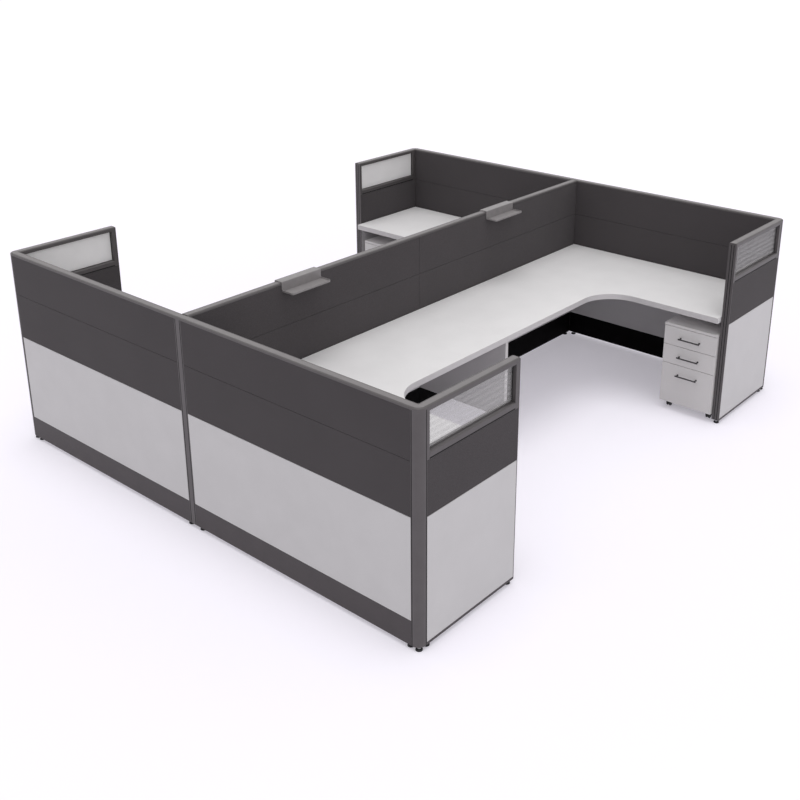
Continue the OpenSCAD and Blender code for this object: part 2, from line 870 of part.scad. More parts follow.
panel_frames();
corner_posts();
junction_posts();
end_trims();
perimeter_caps();
spine_cap();
outer_dark_tiles();
light_tiles();
inner_wall_tiles();
spine_tiles();
inner_return_tiles();
window_frames();
window_panes();
outer_raceway_covers();
inner_raceway_covers();
levelling_feet();
worktops();
edge_bands();
support_gables();
worktop_brackets();
near_tray();
far_tray();
case(1);  // right_case
runners(1);  // right_runners
drawer_box(1, 0);  // right_top_drawer_box
drawer_front(1, 0);  // right_top_drawer_front
handle(1, 0);  // right_top_handle
drawer_box(1, 1);  // right_middle_drawer_box
drawer_front(1, 1);  // right_middle_drawer_front
handle(1, 1);  // right_middle_handle
drawer_box(1, 2);  // right_bottom_drawer_box
drawer_front(1, 2);  // right_bottom_drawer_front
handle(1, 2);  // right_bottom_handle
fork(1, 0);  // right_fork_1
fork(1, 1);  // right_fork_2
fork(1, 2);  // right_fork_3
fork(1, 3);  // right_fork_4
wheels(1, 0);  // right_wheels_1
wheels(1, 1);  // right_wheels_2
wheels(1, 2);  // right_wheels_3
wheels(1, 3);  // right_wheels_4
case(-1);  // left_case
runners(-1);  // left_runners
drawer_box(-1, 0);  // left_top_drawer_box
drawer_front(-1, 0);  // left_top_drawer_front
handle(-1, 0);  // left_top_handle
drawer_box(-1, 1);  // left_middle_drawer_box
drawer_front(-1, 1);  // left_middle_drawer_front
handle(-1, 1);  // left_middle_handle
drawer_box(-1, 2);  // left_bottom_drawer_box
drawer_front(-1, 2);  // left_bottom_drawer_front
handle(-1, 2);  // left_bottom_handle
fork(-1, 0);  // left_fork_1
fork(-1, 1);  // left_fork_2
fork(-1, 2);  // left_fork_3
fork(-1, 3);  // left_fork_4
wheels(-1, 0);  // left_wheels_1
wheels(-1, 1);  // left_wheels_2
wheels(-1, 2);  // left_wheels_3
wheels(-1, 3);  // left_wheels_4
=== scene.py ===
"""Office workstation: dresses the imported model, in metres, in the model's own frame."""

import math

import bmesh
import bpy
from mathutils import Matrix, Vector


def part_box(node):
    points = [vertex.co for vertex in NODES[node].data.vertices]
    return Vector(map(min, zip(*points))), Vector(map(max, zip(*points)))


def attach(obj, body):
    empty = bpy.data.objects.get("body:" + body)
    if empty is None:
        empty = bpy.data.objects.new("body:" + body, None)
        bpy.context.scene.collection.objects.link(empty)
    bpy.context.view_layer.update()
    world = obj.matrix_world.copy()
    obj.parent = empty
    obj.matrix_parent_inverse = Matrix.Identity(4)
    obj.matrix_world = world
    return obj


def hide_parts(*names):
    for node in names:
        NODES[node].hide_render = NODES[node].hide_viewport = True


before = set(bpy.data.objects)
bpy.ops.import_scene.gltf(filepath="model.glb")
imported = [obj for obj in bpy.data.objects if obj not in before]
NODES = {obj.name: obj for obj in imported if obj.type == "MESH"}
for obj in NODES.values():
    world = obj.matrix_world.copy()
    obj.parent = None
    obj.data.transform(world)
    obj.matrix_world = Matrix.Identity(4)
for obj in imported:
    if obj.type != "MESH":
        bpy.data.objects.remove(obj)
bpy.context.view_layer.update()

# Camera of the photograph, fitted to the edges of the walls and worktops: its place, its turn as
# a rotation vector, and its focal length and centre in pixels of the picture
CAMERA_AT = (4.155, -4.795, 3.175)
CAMERA_TURN = (1.8324, 0.6720, -0.4656)
CAMERA_FOCAL_PX = 1087.1
CAMERA_CENTRE_PX = (430, 290)
CAMERA_REACH = 200
IMAGE_PX = 800
SENSOR_MM = 36

# Light: an even dome, and soft lamps as (name, strength, direction it comes from, spread in degrees)
SKY = 0.66
LAMPS = (
    ("key", 0.95, (0.05, -0.05, 1.0), 40),
    ("corner_fill", 0.25, (0.85, -0.5, 0.35), 40),
    ("right_fill", 0.10, (1.0, 0.0, 0.30), 60),
)

# Floor: its side, its colour, and its glow where it is seen straight, mirrored or through glass
FLOOR_SIZE = 60
FLOOR_TINT = (0.750, 0.727, 0.785, 1.0)
FLOOR_LIFT = 0.40

# Colours as they show, red green blue from 0 to 255
DARK_FABRIC = (74, 70, 72)
LIGHT_LAMINATE = (205, 203, 204)
TRIM_METAL = (88, 84, 85)
# The caps' top strip is lighter than the trim only as a painted highlight where light falls on the tops
CAP_TOP_HIGHLIGHT = (128, 124, 125)
RACEWAY_GREY = (73, 68, 70)
# Inner raceway covers: near black, partly their own dark colour and partly painted shade of the knee
# space
RACEWAY_BLACK_AND_SHADE = (6, 5, 6)
WORKTOP_WHITE = (236, 234, 235)
EDGE_WHITE = (206, 203, 204)
PEDESTAL_GREY = (218, 215, 215)
GABLE_GREY = (200, 197, 198)
TRAY_GREY = (138, 134, 135)
HANDLE_DARK = (62, 60, 62)
PLASTIC_BLACK = (28, 28, 30)
# Gaskets: dark rubber; in the sills' grooves their black also stands as painted shade
GASKET_BLACK = (22, 21, 22)
GLASS_GREY = (206, 204, 205)
# Left panes: pale grey, painted light for how the printed glass shows on that side
LEFT_PANE_LIT_GREY = (247, 245, 246)
STEEL = (178, 178, 180)
BRACKET_GREY = (150, 150, 152)
BOX_WHITE = (222, 220, 218)

# Printed lines of the right panes: their pitch, and the printed share and its blur as parts of it
STRIPE_PITCH = 0.030
STRIPE_SHARE = 0.66
STRIPE_BLUR = 0.04

# How much each face of a pane hides: on a line, between lines, and on the left panes, drawn near opaque
# and pale as painted light
STRIPE_ALPHA = 0.31
CLEAR_ALPHA = 0.20
LEFT_PANE_ALPHA = 0.96

# Points closer than WELD are one point, and sides that differ by less than SAME_LENGTH are equal
WELD = 1e-5
SAME_LENGTH = 0.001

# Angles between two faces, in degrees: their edge is shaded sharp above the first, dissolved
# below the second and bevelled above the third
CREASE_ANGLE = 35
FLAT_ANGLE = 1
BEVEL_ANGLE = 40

# How far edges are rounded, by what they are on
FABRIC_EDGE = 0.0014
FRONT_EDGE = 0.0014
BAR_EDGE = 0.0012
BOARD_EDGE = 0.0008
COVER_EDGE = 0.0008
TRAY_EDGE = 0.0008
PROFILE_EDGE = 0.0006
BOX_EDGE = 0.0006
CASTOR_EDGE = 0.0006
METAL_EDGE = 0.0005
PANE_EDGE = 0.0005
CUT_EDGE = 0.0004
RUNNER_EDGE = 0.0003
GASKET_EDGE = 0.0003
STRIP_EDGE = 0.0002

ACROSS = (1, 0, 0)
FORWARD = (0, -1, 0)
UP = (0, 0, 1)
DOWN = (0, 0, -1)


def linear(rgb):
    """Colour as a shader wants it, from one written as it shows."""
    out = []
    for value in rgb:
        c = value / 255
        out.append(c / 12.92 if c <= 0.04045 else ((c + 0.055) / 1.055) ** 2.4)
    return (*out, 1.0)


def shades(rgb, spread):
    """The colour a little darker and a little lighter."""
    base = linear(rgb)[:3]
    darker = tuple(c * (1 - spread) for c in base)
    lighter = tuple(min(c * (1 + spread), 1) for c in base)
    return (*darker, 1.0), (*lighter, 1.0)


def grey(level):
    return (level, level, level, 1.0)


def add_object(name, data):
    obj = bpy.data.objects.new(name, data)
    bpy.context.scene.collection.objects.link(obj)
    return obj


def make_camera():
    """Camera at the photograph's place and angle, shifted to the photograph's framing."""
    data = bpy.data.cameras.new("camera")
    cam = add_object("camera", data)
    turn = Vector(CAMERA_TURN)
    seen = Matrix.Rotation(turn.length, 3, turn.normalized())
    right, down, ahead = seen[0], seen[1], seen[2]
    columns = Matrix((right, -down, -ahead)).transposed()
    cam.matrix_world = Matrix.Translation(CAMERA_AT) @ columns.to_4x4()
    data.sensor_width = SENSOR_MM
    data.lens = CAMERA_FOCAL_PX * SENSOR_MM / IMAGE_PX
    data.shift_x = (IMAGE_PX / 2 - CAMERA_CENTRE_PX[0]) / IMAGE_PX
    data.shift_y = (CAMERA_CENTRE_PX[1] - IMAGE_PX / 2) / IMAGE_PX
    data.clip_end = CAMERA_REACH
    bpy.context.scene.camera = cam


class Nodes:
    """Shorthand for building a node tree."""

    def __init__(self, tree, output="ShaderNodeOutputMaterial"):
        tree.nodes.clear()
        self.tree = tree
        self.output = self.add(output)

    def add(self, kind, **values):
        """New node, each value set on its socket or, where it has none, as a setting."""
        node = self.tree.nodes.new(kind)
        for key, value in values.items():
            if key in node.inputs:
                node.inputs[key].default_value = value
            else:
                setattr(node, key, value)
        return node

    def principled(self, **values):
        """Principled shader, its sockets named with _ for a space."""
        spaced = {key.replace("_", " "): value for key, value in values.items()}
        return self.add("ShaderNodeBsdfPrincipled", **spaced)

    def link(self, source, target):
        self.tree.links.new(source, target)

    def coords(self, scale=(1, 1, 1)):
        source = self.add("ShaderNodeTexCoord")
        mapping = self.add("ShaderNodeMapping", Scale=scale)
        self.link(source.outputs["Object"], mapping.inputs["Vector"])
        return mapping.outputs["Vector"]

    def noise(self, scale, detail=3.0, stretch=(1, 1, 1)):
        node = self.add("ShaderNodeTexNoise", Scale=scale, Detail=detail, Roughness=0.5)
        self.link(self.coords(stretch), node.inputs["Vector"])
        return node.outputs["Fac"]

    def ramp(self, value, stops):
        """Colour from a value, through (place, colour) stops."""
        node = self.add("ShaderNodeValToRGB")
        self.link(value, node.inputs["Fac"])
        elements = node.color_ramp.elements
        for element, (place, colour) in zip(elements, stops, strict=True):
            element.position = place
            element.color = colour
        return node.outputs["Color"]

    def remap(self, value, low, high, start=0.0, end=1.0):
        """The value moved from start and end to low and high."""
        node = self.add("ShaderNodeMapRange")
        for name, number in (("From Min", start), ("From Max", end), ("To Min", low), ("To Max", high)):
            node.inputs[name].default_value = number
        self.link(value, node.inputs["Value"])
        return node.outputs["Result"]

    def math(self, operation, a, b=0.0):
        node = self.add("ShaderNodeMath", operation=operation)
        for slot, value in zip(node.inputs, (a, b)):
            if isinstance(value, (int, float)):
                slot.default_value = value
            else:
                self.link(value, slot)
        return node.outputs["Value"]

    def mix(self, factor, a, b, blend="MIX"):
        """Two colours mixed. A colour mix has its factor at socket 0 and its colours at 6 and 7."""
        node = self.add("ShaderNodeMix", data_type="RGBA", blend_type=blend)
        for slot, value in zip((node.inputs[0], node.inputs[6], node.inputs[7]), (factor, a, b)):
            if hasattr(value, "is_output"):
                self.link(value, slot)
            else:
                slot.default_value = value
        return node.outputs[2]

    def bump(self, height, strength, distance):
        node = self.add("ShaderNodeBump", Strength=strength, Distance=distance)
        self.link(height, node.inputs["Height"])
        return node.outputs["Normal"]

    def edge(self, radius):
        """0 on flat stretches, rising towards rounded edges."""
        bevel = self.add("ShaderNodeBevel", samples=4, Radius=radius)
        geometry = self.add("ShaderNodeNewGeometry")
        dot = self.add("ShaderNodeVectorMath", operation="DOT_PRODUCT")
        self.link(bevel.outputs["Normal"], dot.inputs[0])
        self.link(geometry.outputs["Normal"], dot.inputs[1])
        return self.remap(dot.outputs["Value"], low=1.0, high=0.0, start=0.8)

    def seen(self):
        """1 for what the camera sees straight, in a mirror or through glass, else 0."""
        path = self.add("ShaderNodeLightPath")
        straight = path.outputs["Is Camera Ray"]
        mirrored = path.outputs["Is Glossy Ray"]
        through = path.outputs["Is Transmission Ray"]
        return self.math("MAXIMUM", straight, self.math("MAXIMUM", mirrored, through))


def new_material(name):
    material = bpy.data.materials.new(name)
    material.use_nodes = True
    return material, Nodes(material.node_tree)


def finish_shader(n, shader, height, strength, distance):
    """Gives the shader its bump and makes it the material's surface."""
    n.link(n.bump(height, strength, distance), shader.inputs["Normal"])
    n.link(shader.outputs["BSDF"], n.output.inputs["Surface"])


def mottled(n, rgb, spread, scale, detail=3.0):
    """The colour, drifting between a darker and a lighter shade."""
    dark, light = shades(rgb, spread)
    return n.ramp(n.noise(scale, detail), ((0.3, dark), (0.7, light)))


def fabric(name, rgb):
    """Plain-woven tile cover: crossing threads, flecks and a soft sheen."""
    material, n = new_material(name)
    weave = None
    for direction in ("X", "Y", "Z"):
        wave = n.add("ShaderNodeTexWave", bands_direction=direction, Scale=150.0, Distortion=1.0)
        n.link(n.coords(), wave.inputs["Vector"])
        weave = wave.outputs["Fac"] if weave is None else n.math("ADD", weave, wave.outputs["Fac"])
    flecks = mottled(n, rgb, spread=0.2, scale=380.0, detail=4.0)
    cloud = n.ramp(n.noise(scale=2.5), ((0.35, grey(0.94)), (0.65, grey(1.0))))
    shader = n.principled(
        Roughness=0.9,
        Sheen_Weight=0.08,
        Sheen_Roughness=0.5,
        Specular_IOR_Level=0.2,
    )
    n.link(n.mix(1.0, flecks, cloud, "MULTIPLY"), shader.inputs["Base Color"])
    finish_shader(n, shader, weave, strength=0.3, distance=0.0005)
    return material


def laminate(name, rgb, rough=0.45):
    """Melamine face: faint clouding and a fine pearl in the gloss."""
    material, n = new_material(name)
    shader = n.principled(Specular_IOR_Level=0.35)
    n.link(mottled(n, rgb, spread=0.02, scale=6.0), shader.inputs["Base Color"])
    gloss = n.remap(n.noise(scale=90.0, detail=2.0), low=rough - 0.07, high=rough + 0.07)
    n.link(gloss, shader.inputs["Roughness"])
    finish_shader(n, shader, n.noise(scale=1400.0, detail=2.0), strength=0.1, distance=0.0002)
    return material


def coated_metal(name, rgb, metallic=0.3, rough=0.42, edge_highlight=0.3, shine=0.5):
    """Powder-coated metal: orange peel, and rounded edges painted a little lighter as a painted
    highlight.
    """
    material, n = new_material(name)
    shader = n.principled(Metallic=metallic, Specular_IOR_Level=shine)
    plain = mottled(n, rgb, spread=0.05, scale=14.0)
    # Rounded edges mixed towards a lighter shade: a painted highlight
    _, edge_lit = shades(rgb, edge_highlight)
    n.link(n.mix(n.edge(radius=0.0012), plain, edge_lit), shader.inputs["Base Color"])
    gloss = n.remap(n.noise(scale=60.0), low=rough - 0.06, high=rough + 0.08)
    n.link(gloss, shader.inputs["Roughness"])
    finish_shader(n, shader, n.noise(scale=700.0, detail=2.0), strength=0.12, distance=0.0003)
    return material


def bare_steel(name, rgb, rough=0.36):
    """Zinc-plated steel: brushed streaks and cloudy patches."""
    material, n = new_material(name)
    shader = n.principled(Metallic=0.85)
    n.link(mottled(n, rgb, spread=0.12, scale=22.0), shader.inputs["Base Color"])
    streaks = n.noise(scale=160.0, detail=4.0, stretch=(1, 0.04, 1))
    n.link(n.remap(streaks, low=rough - 0.1, high=rough + 0.14), shader.inputs["Roughness"])
    finish_shader(n, shader, streaks, strength=0.08, distance=0.0002)
    return material


def plastic(name, rgb, rough=0.5, spread=0.06):
    """Moulded plastic with a fine spark-eroded grain."""
    material, n = new_material(name)
    shader = n.principled(Specular_IOR_Level=0.4)
    n.link(mottled(n, rgb, spread, scale=25.0), shader.inputs["Base Color"])
    gloss = n.remap(n.noise(scale=120.0), low=rough - 0.06, high=rough + 0.08)
    n.link(gloss, shader.inputs["Roughness"])
    finish_shader(n, shader, n.noise(scale=900.0, detail=2.0), strength=0.15, distance=0.0003)
    return material


def striped_glass(name, rgb):
    """Pane printed with level frosted lines, clear between them."""
    material, n = new_material(name)
    position = n.add("ShaderNodeSeparateXYZ")
    n.link(n.coords(), position.inputs["Vector"])
    phase = n.math("FRACT", n.math("DIVIDE", position.outputs["Z"], STRIPE_PITCH))
    middle = STRIPE_SHARE / 2
    away = n.math("ABSOLUTE", n.math("SUBTRACT", phase, middle))
    frosted = n.remap(away, low=1.0, high=0.0, start=middle - STRIPE_BLUR, end=middle)
    shader = n.principled()
    n.link(mottled(n, rgb, spread=0.03, scale=18.0), shader.inputs["Base Color"])
    n.link(n.remap(frosted, low=CLEAR_ALPHA, high=STRIPE_ALPHA), shader.inputs["Alpha"])
    n.link(n.remap(frosted, low=0.1, high=0.5), shader.inputs["Roughness"])
    finish_shader(n, shader, n.noise(scale=500.0, detail=2.0), strength=0.05, distance=0.0002)
    return material


def lit_pane_glass(name, rgb):
    """Pane drawn pale and near opaque all over, faintly clouded: painted light for how the printed
    glass shows there.
    """
    material, n = new_material(name)
    shader = n.principled(Alpha=LEFT_PANE_ALPHA)
    n.link(mottled(n, rgb, spread=0.02, scale=9.0), shader.inputs["Base Color"])
    n.link(n.remap(n.noise(scale=140.0), low=0.45, high=0.6), shader.inputs["Roughness"])
    finish_shader(n, shader, n.noise(scale=500.0, detail=2.0), strength=0.08, distance=0.0002)
    return material


# One look for each material slot of the record
MATERIALS = {
    "dark_fabric": fabric("dark_fabric", DARK_FABRIC),
    "light_laminate": laminate("light_laminate", LIGHT_LAMINATE),
    "trim_metal": coated_metal("trim_metal", TRIM_METAL),
    # Cap strips: the trim's grey painted lighter, a painted highlight on the lit tops
    "cap_metal": coated_metal("cap_metal", CAP_TOP_HIGHLIGHT, metallic=0.0, rough=0.5, edge_highlight=0.1, shine=0.3),
    "raceway_grey": coated_metal("raceway_grey", RACEWAY_GREY, metallic=0.0, rough=0.5, shine=0.3),
    # Inner raceway covers: dark colour with painted shade of the knee space
    "raceway_black": coated_metal("raceway_black", RACEWAY_BLACK_AND_SHADE, metallic=0.0, rough=0.7, shine=0.05),
    "striped_glass": striped_glass("striped_glass", GLASS_GREY),
    "worktop_laminate": laminate("worktop_laminate", WORKTOP_WHITE, rough=0.4),
    "edge_plastic": plastic("edge_plastic", EDGE_WHITE, rough=0.4, spread=0.02),
    "gable_laminate": laminate("gable_laminate", GABLE_GREY),
    "pedestal_laminate": laminate("pedestal_laminate", PEDESTAL_GREY),
    "drawer_box_board": laminate("drawer_box_board", BOX_WHITE, rough=0.5),
    "tray_plastic": plastic("tray_plastic", TRAY_GREY, rough=0.4),
    "foot_plastic": plastic("foot_plastic", PLASTIC_BLACK),
    "castor_plastic": plastic("castor_plastic", PLASTIC_BLACK, rough=0.45),
    "wheel_plastic": plastic("wheel_plastic", PLASTIC_BLACK, rough=0.3),
    "handle_metal": coated_metal("handle_metal", HANDLE_DARK, metallic=0.5, rough=0.32),
    "frame_steel": bare_steel("frame_steel", STEEL),
    "runner_steel": bare_steel("runner_steel", STEEL),
    "bracket_steel": coated_metal("bracket_steel", BRACKET_GREY, metallic=0.2),
}

# Two looks that share the slots foot_plastic and striped_glass
GASKET = plastic("gasket_rubber", GASKET_BLACK, rough=0.8)
# Left panes: the printed glass drawn pale and near opaque, its paleness painted light
LEFT_PANE_LIT_LOOK = lit_pane_glass("lit_pane_glass", LEFT_PANE_LIT_GREY)


def make_dome():
    """Even dome over the object, white where it is seen."""
    world = bpy.data.worlds.new("studio")
    bpy.context.scene.world = world
    world.use_nodes = True
    n = Nodes(world.node_tree, "ShaderNodeOutputWorld")
    sky = n.add("ShaderNodeBackground", Color=grey(1.0))
    n.link(n.remap(n.seen(), low=SKY, high=1.0), sky.inputs["Strength"])
    n.link(sky.outputs["Background"], n.output.inputs["Surface"])


def make_lamps():
    """Distant soft lamps, each turned to shine from its own direction."""
    for name, strength, toward, spread in LAMPS:
        data = bpy.data.lights.new(name, "SUN")
        data.energy = strength
        data.angle = math.radians(spread)
        lamp = add_object(name, data)
        lamp.matrix_world = Vector(toward).to_track_quat("Z", "Y").to_matrix().to_4x4()


def make_floor():
    """Pale matt floor that keeps the object's shadow."""
    mesh = bpy.data.meshes.new("floor")
    half = FLOOR_SIZE / 2
    corners = [(-half, -half, 0), (half, -half, 0), (half, half, 0), (-half, half, 0)]
    mesh.from_pydata(corners, [], [(0, 1, 2, 3)])
    floor = add_object("floor", mesh)
    material, n = new_material("floor")
    matt = n.add("ShaderNodeBsdfDiffuse", Color=FLOOR_TINT)
    glow = n.add("ShaderNodeEmission", Color=FLOOR_TINT)
    n.link(n.math("MULTIPLY", n.seen(), FLOOR_LIFT), glow.inputs["Strength"])
    both = n.add("ShaderNodeAddShader")
    n.link(matt.outputs["BSDF"], both.inputs[0])
    n.link(glow.outputs["Emission"], both.inputs[1])
    n.link(both.outputs["Shader"], n.output.inputs["Surface"])
    mesh.materials.append(material)


def solids(node):
    """Lowest and highest corners of each separate solid of a CAD node."""
    bm = bmesh.new()
    bm.from_mesh(NODES[node].data)
    bmesh.ops.remove_doubles(bm, verts=bm.verts, dist=WELD)
    unseen = set(bm.verts)
    found = []
    while unseen:
        stack = [unseen.pop()]
        points = []
        while stack:
            vert = stack.pop()
            points.append(vert.co.copy())
            for edge in vert.link_edges:
                other = edge.other_vert(vert)
                if other in unseen:
                    unseen.remove(other)
                    stack.append(other)
        low = Vector(min(p[i] for p in points) for i in range(3))
        high = Vector(max(p[i] for p in points) for i in range(3))
        found.append((low, high))
    bm.free()
    return sorted(found, key=lambda pair: tuple(round(v, 4) for v in pair[0]))


def even_normals(obj):
    """Shades flat faces flat, with the turn of light kept to the rounded edges."""
    even = obj.modifiers.new("even", "WEIGHTED_NORMAL")
    even.keep_sharp = True


def piece(name, bm, slot, body, *replaced, look=None):
    """Turns a bmesh into a piece on its body, in its slot's material or in the look given."""
    bmesh.ops.recalc_face_normals(bm, faces=bm.faces)
    mesh = bpy.data.meshes.new(name)
    bm.to_mesh(mesh)
    bm.free()
    mesh.shade_smooth()
    mesh.set_sharp_from_angle(angle=math.radians(CREASE_ANGLE))
    mesh.materials.append(look or MATERIALS[slot])
    obj = add_object(name, mesh)
    even_normals(obj)
    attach(obj, body)
    if replaced:
        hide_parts(*replaced)


def dress(node, slot, edge):
    """Keeps a CAD node, softens its edges and gives it its material."""
    obj = NODES[node]
    obj.data.materials.clear()
    obj.data.materials.append(MATERIALS[slot])
    weld = obj.modifiers.new("weld", "WELD")
    weld.merge_threshold = WELD
    flat = obj.modifiers.new("flat", "DECIMATE")
    flat.decimate_type = "DISSOLVE"
    flat.angle_limit = math.radians(FLAT_ANGLE)
    soft = obj.modifiers.new("soft", "BEVEL")
    soft.width = edge
    soft.segments = 2
    soft.limit_method = "ANGLE"
    soft.angle_limit = math.radians(BEVEL_ANGLE)
    even_normals(obj)


def soften(bm, edges, radius, segments):
    bmesh.ops.bevel(
        bm,
        geom=list(edges),
        offset=radius,
        segments=segments,
        profile=0.5,
        affect="EDGES",
        clamp_overlap=True,
    )


def block(bm, low, high, radius, segments=2):
    """Box with rounded edges."""
    made = bmesh.ops.create_cube(bm, size=1)["verts"]
    for vert in made:
        vert.co = Vector(low[i] if vert.co[i] < 0 else high[i] for i in range(3))
    soften(bm, {edge for vert in made for edge in vert.link_edges}, radius, segments)


def loft(bm, rings):
    """Skin through rings of points, its two ends closed. Returns the end faces."""
    rows = [[bm.verts.new(point) for point in ring] for ring in rings]
    count = len(rows[0])
    for a, b in zip(rows, rows[1:]):
        for i in range(count):
            j = (i + 1) % count
            bm.faces.new((a[i], a[j], b[j], b[i]))
    return [bm.faces.new(list(reversed(rows[0]))), bm.faces.new(rows[-1])]


def lathe(bm, profile, centre, axis, sides=32):
    """Turned solid along X, Y or Z: profile is a list of (radius, distance along the axis)."""
    along = Vector(axis)
    side = Vector((0, 1, 0)) if along.x else Vector((1, 0, 0))
    up = along.cross(side)
    rings = []
    for radius, height in profile:
        ring = []
        for i in range(sides):
            turn = 2 * math.pi * i / sides
            spoke = side * math.cos(turn) + up * math.sin(turn)
            ring.append(Vector(centre) + along * height + spoke * radius)
        rings.append(ring)
    loft(bm, rings)


def arc(centre, radius, start, end, steps):
    """Points on an arc, angles in degrees."""
    points = []
    for i in range(steps + 1):
        turn = math.radians(start + (end - start) * i / steps)
        points.append((centre[0] + radius * math.cos(turn), centre[1] + radius * math.sin(turn)))
    return points


def prism(bm, outline, low_z, high_z, edge):
    """Upright solid with the outline as its plan, its top and bottom edges cut back."""
    ends = loft(bm, [[(x, y, z) for x, y in outline] for z in (low_z, high_z)])
    soften(bm, {e for face in ends for e in face.edges}, edge, 1)


def extrude(bm, section, axis, start, end, edge=0.0):
    """Level solid along X or Y, its section given as (place across, height) pairs."""
    rings = []
    for place in (start, end):
        if axis == "X":
            rings.append([(place, across, z) for across, z in section])
        else:
            rings.append([(across, place, z) for across, z in section])
    ends = loft(bm, rings)
    if edge > 0:
        soften(bm, {e for face in ends for e in face.edges}, edge, 1)


def rounding(radius, steps):
    """(drop, inset) pairs down a quarter round, from the flat at its top to the wall's face."""
    turns = [math.radians(90 * i / steps) for i in range(steps + 1)]
    return [(radius * (1 - math.cos(a)), radius * (1 - math.sin(a))) for a in turns]


def quarter(low, high):
    """Signs of the quarter of the plan that a solid lies in."""
    return (1 if low.x + high.x > 0 else -1), (1 if low.y + high.y > 0 else -1)


def placed(points, low, high):
    """Plan points, drawn from a solid's inner corner outwards, set in its own quarter."""
    sx, sy = quarter(low, high)
    x0 = low.x if sx > 0 else high.x
    y0 = low.y if sy > 0 else high.y
    return [(x0 + sx * x, y0 + sy * y) for x, y in points]


def face_and_back(low, high, outward):
    """A solid's two sides along one axis, first the one that faces outward or else inward."""
    return (high, low) if (low + high > 0) == outward else (low, high)


def make_tiles():
    """Every tile of the walls, a wrapped or banded board with rounded edges."""
    for name, node, slot, radius in (
        ("fabric_tiles_outside", "outer_dark_tiles", "dark_fabric", FABRIC_EDGE),
        ("laminate_tiles", "light_tiles", "light_laminate", BOARD_EDGE),
        ("fabric_tiles_end_walls", "inner_wall_tiles", "dark_fabric", FABRIC_EDGE),
        ("fabric_tiles_spine", "spine_tiles", "dark_fabric", FABRIC_EDGE),
        ("fabric_tiles_returns", "inner_return_tiles", "dark_fabric", FABRIC_EDGE),
    ):
        bm = bmesh.new()
        for low, high in solids(node):
            block(bm, low, high, radius, segments=3)
        piece(name, bm, slot, "station", node)


# Posts: round of a corner post, the grooves' width and depth, and how far from the inner end of
# its face a corner post's groove starts
POST_ROUND = 0.042
POST_STEPS = 14
GROOVE_W = 0.005
GROOVE_D = 0.0025
GROOVE_IN = 0.0025

# Where the grooves of flat posts lie, as shares of the post's width
JUNCTION_GROOVES = (0.15, 0.85)
END_GROOVES = (1 / 3, 2 / 3)

# How far a gasket stays below the face, and short of the profile's ends
GASKET_IN = 0.0008


def grooved_face(start, end, places, inward):
    """Points along a face at v = 0 from u = start to end, dipping into each groove."""
    points = [(start, 0)]
    forward = 1 if end > start else -1
    deep = inward * GROOVE_D
    for place in sorted(places, reverse=forward < 0):
        near, far = place - forward * GROOVE_W / 2, place + forward * GROOVE_W / 2
        points += [(near, 0), (near, deep), (far, deep), (far, 0)]
    return points + [(end, 0)]


def gasket(bm, a, b, low_z, high_z):
    """Soft strip between two plan points, a little short of the profile's ends."""
    low = (min(a[0], b[0]), min(a[1], b[1]), low_z + GASKET_IN)
    high = (max(a[0], b[0]), max(a[1], b[1]), high_z - GASKET_IN)
    block(bm, low, high, GASKET_EDGE, segments=1)


def make_corner_posts(gaskets):
    """Corner posts with a round outer corner, and a groove in each outer side."""
    bm = bmesh.new()
    for low, high in solids("corner_posts"):
        size, r = high.x - low.x, POST_ROUND
        groove = GROOVE_IN + GROOVE_W / 2
        side = [(size + v, u) for u, v in grooved_face(0, size - r, [groove], -1)]
        front = [(u, size + v) for u, v in grooved_face(size - r, 0, [groove], -1)]
        corner = arc((size - r, size - r), r, 0, 90, POST_STEPS)
        plan = [(0, 0)] + side[:-1] + corner + front[1:]
        prism(bm, placed(plan, low, high), low.z, high.z, PROFILE_EDGE)
        deep = (size - GROOVE_D, GROOVE_IN)
        shallow = (size - GASKET_IN, GROOVE_IN + GROOVE_W)
        for ends in ((deep, shallow), (deep[::-1], shallow[::-1])):
            gasket(gaskets, *placed(ends, low, high), low.z, high.z)
    piece("corner_post_profiles", bm, "trim_metal", "station", "corner_posts")


def make_flat_posts(gaskets, name, node, shares, outward):
    """Posts with two grooves in the side that faces outward or, where a return ends, inward."""
    bm = bmesh.new()
    for low, high in solids(node):
        face, back = face_and_back(low.y, high.y, outward)
        way = 1 if face > back else -1
        places = [low.x + share * (high.x - low.x) for share in shares]
        line = [(u, face + v) for u, v in grooved_face(low.x, high.x, places, -way)]
        plan = line + [(high.x, back), (low.x, back)]
        prism(bm, plan, low.z, high.z, PROFILE_EDGE)
        for x in places:
            deep = (x - GROOVE_W / 2, face - way * GROOVE_D)
            shallow = (x + GROOVE_W / 2, face - way * GASKET_IN)
            gasket(gaskets, deep, shallow, low.z, high.z)
    piece(name, bm, "trim_metal", "station", node)


def make_posts():
    """Extruded posts and end profiles, with gaskets in their grooves."""
    gaskets = bmesh.new()
    make_corner_posts(gaskets)
    make_flat_posts(gaskets, "junction_post_profiles", "junction_posts", JUNCTION_GROOVES, True)
    make_flat_posts(gaskets, "return_end_profiles", "end_trims", END_GROOVES, False)
    piece("post_gaskets", gaskets, "foot_plastic", "station", look=GASKET)


# Caps: round of the shoulders, and how far the strip lies in from the sides and stands proud
CAP_ROUND = 0.006
CAP_STEPS = 6
CAP_STRIP_IN = 0.010
CAP_STRIP_UP = 0.0008


def cap_section(low, high, base, top):
    """Cross-section of a top cap with round shoulders."""
    r = CAP_ROUND
    points = [(low, base), (high, base)]
    points += arc((high - r, top - r), r, 0, 90, CAP_STEPS)
    return points + arc((low + r, top - r), r, 90, 180, CAP_STEPS)


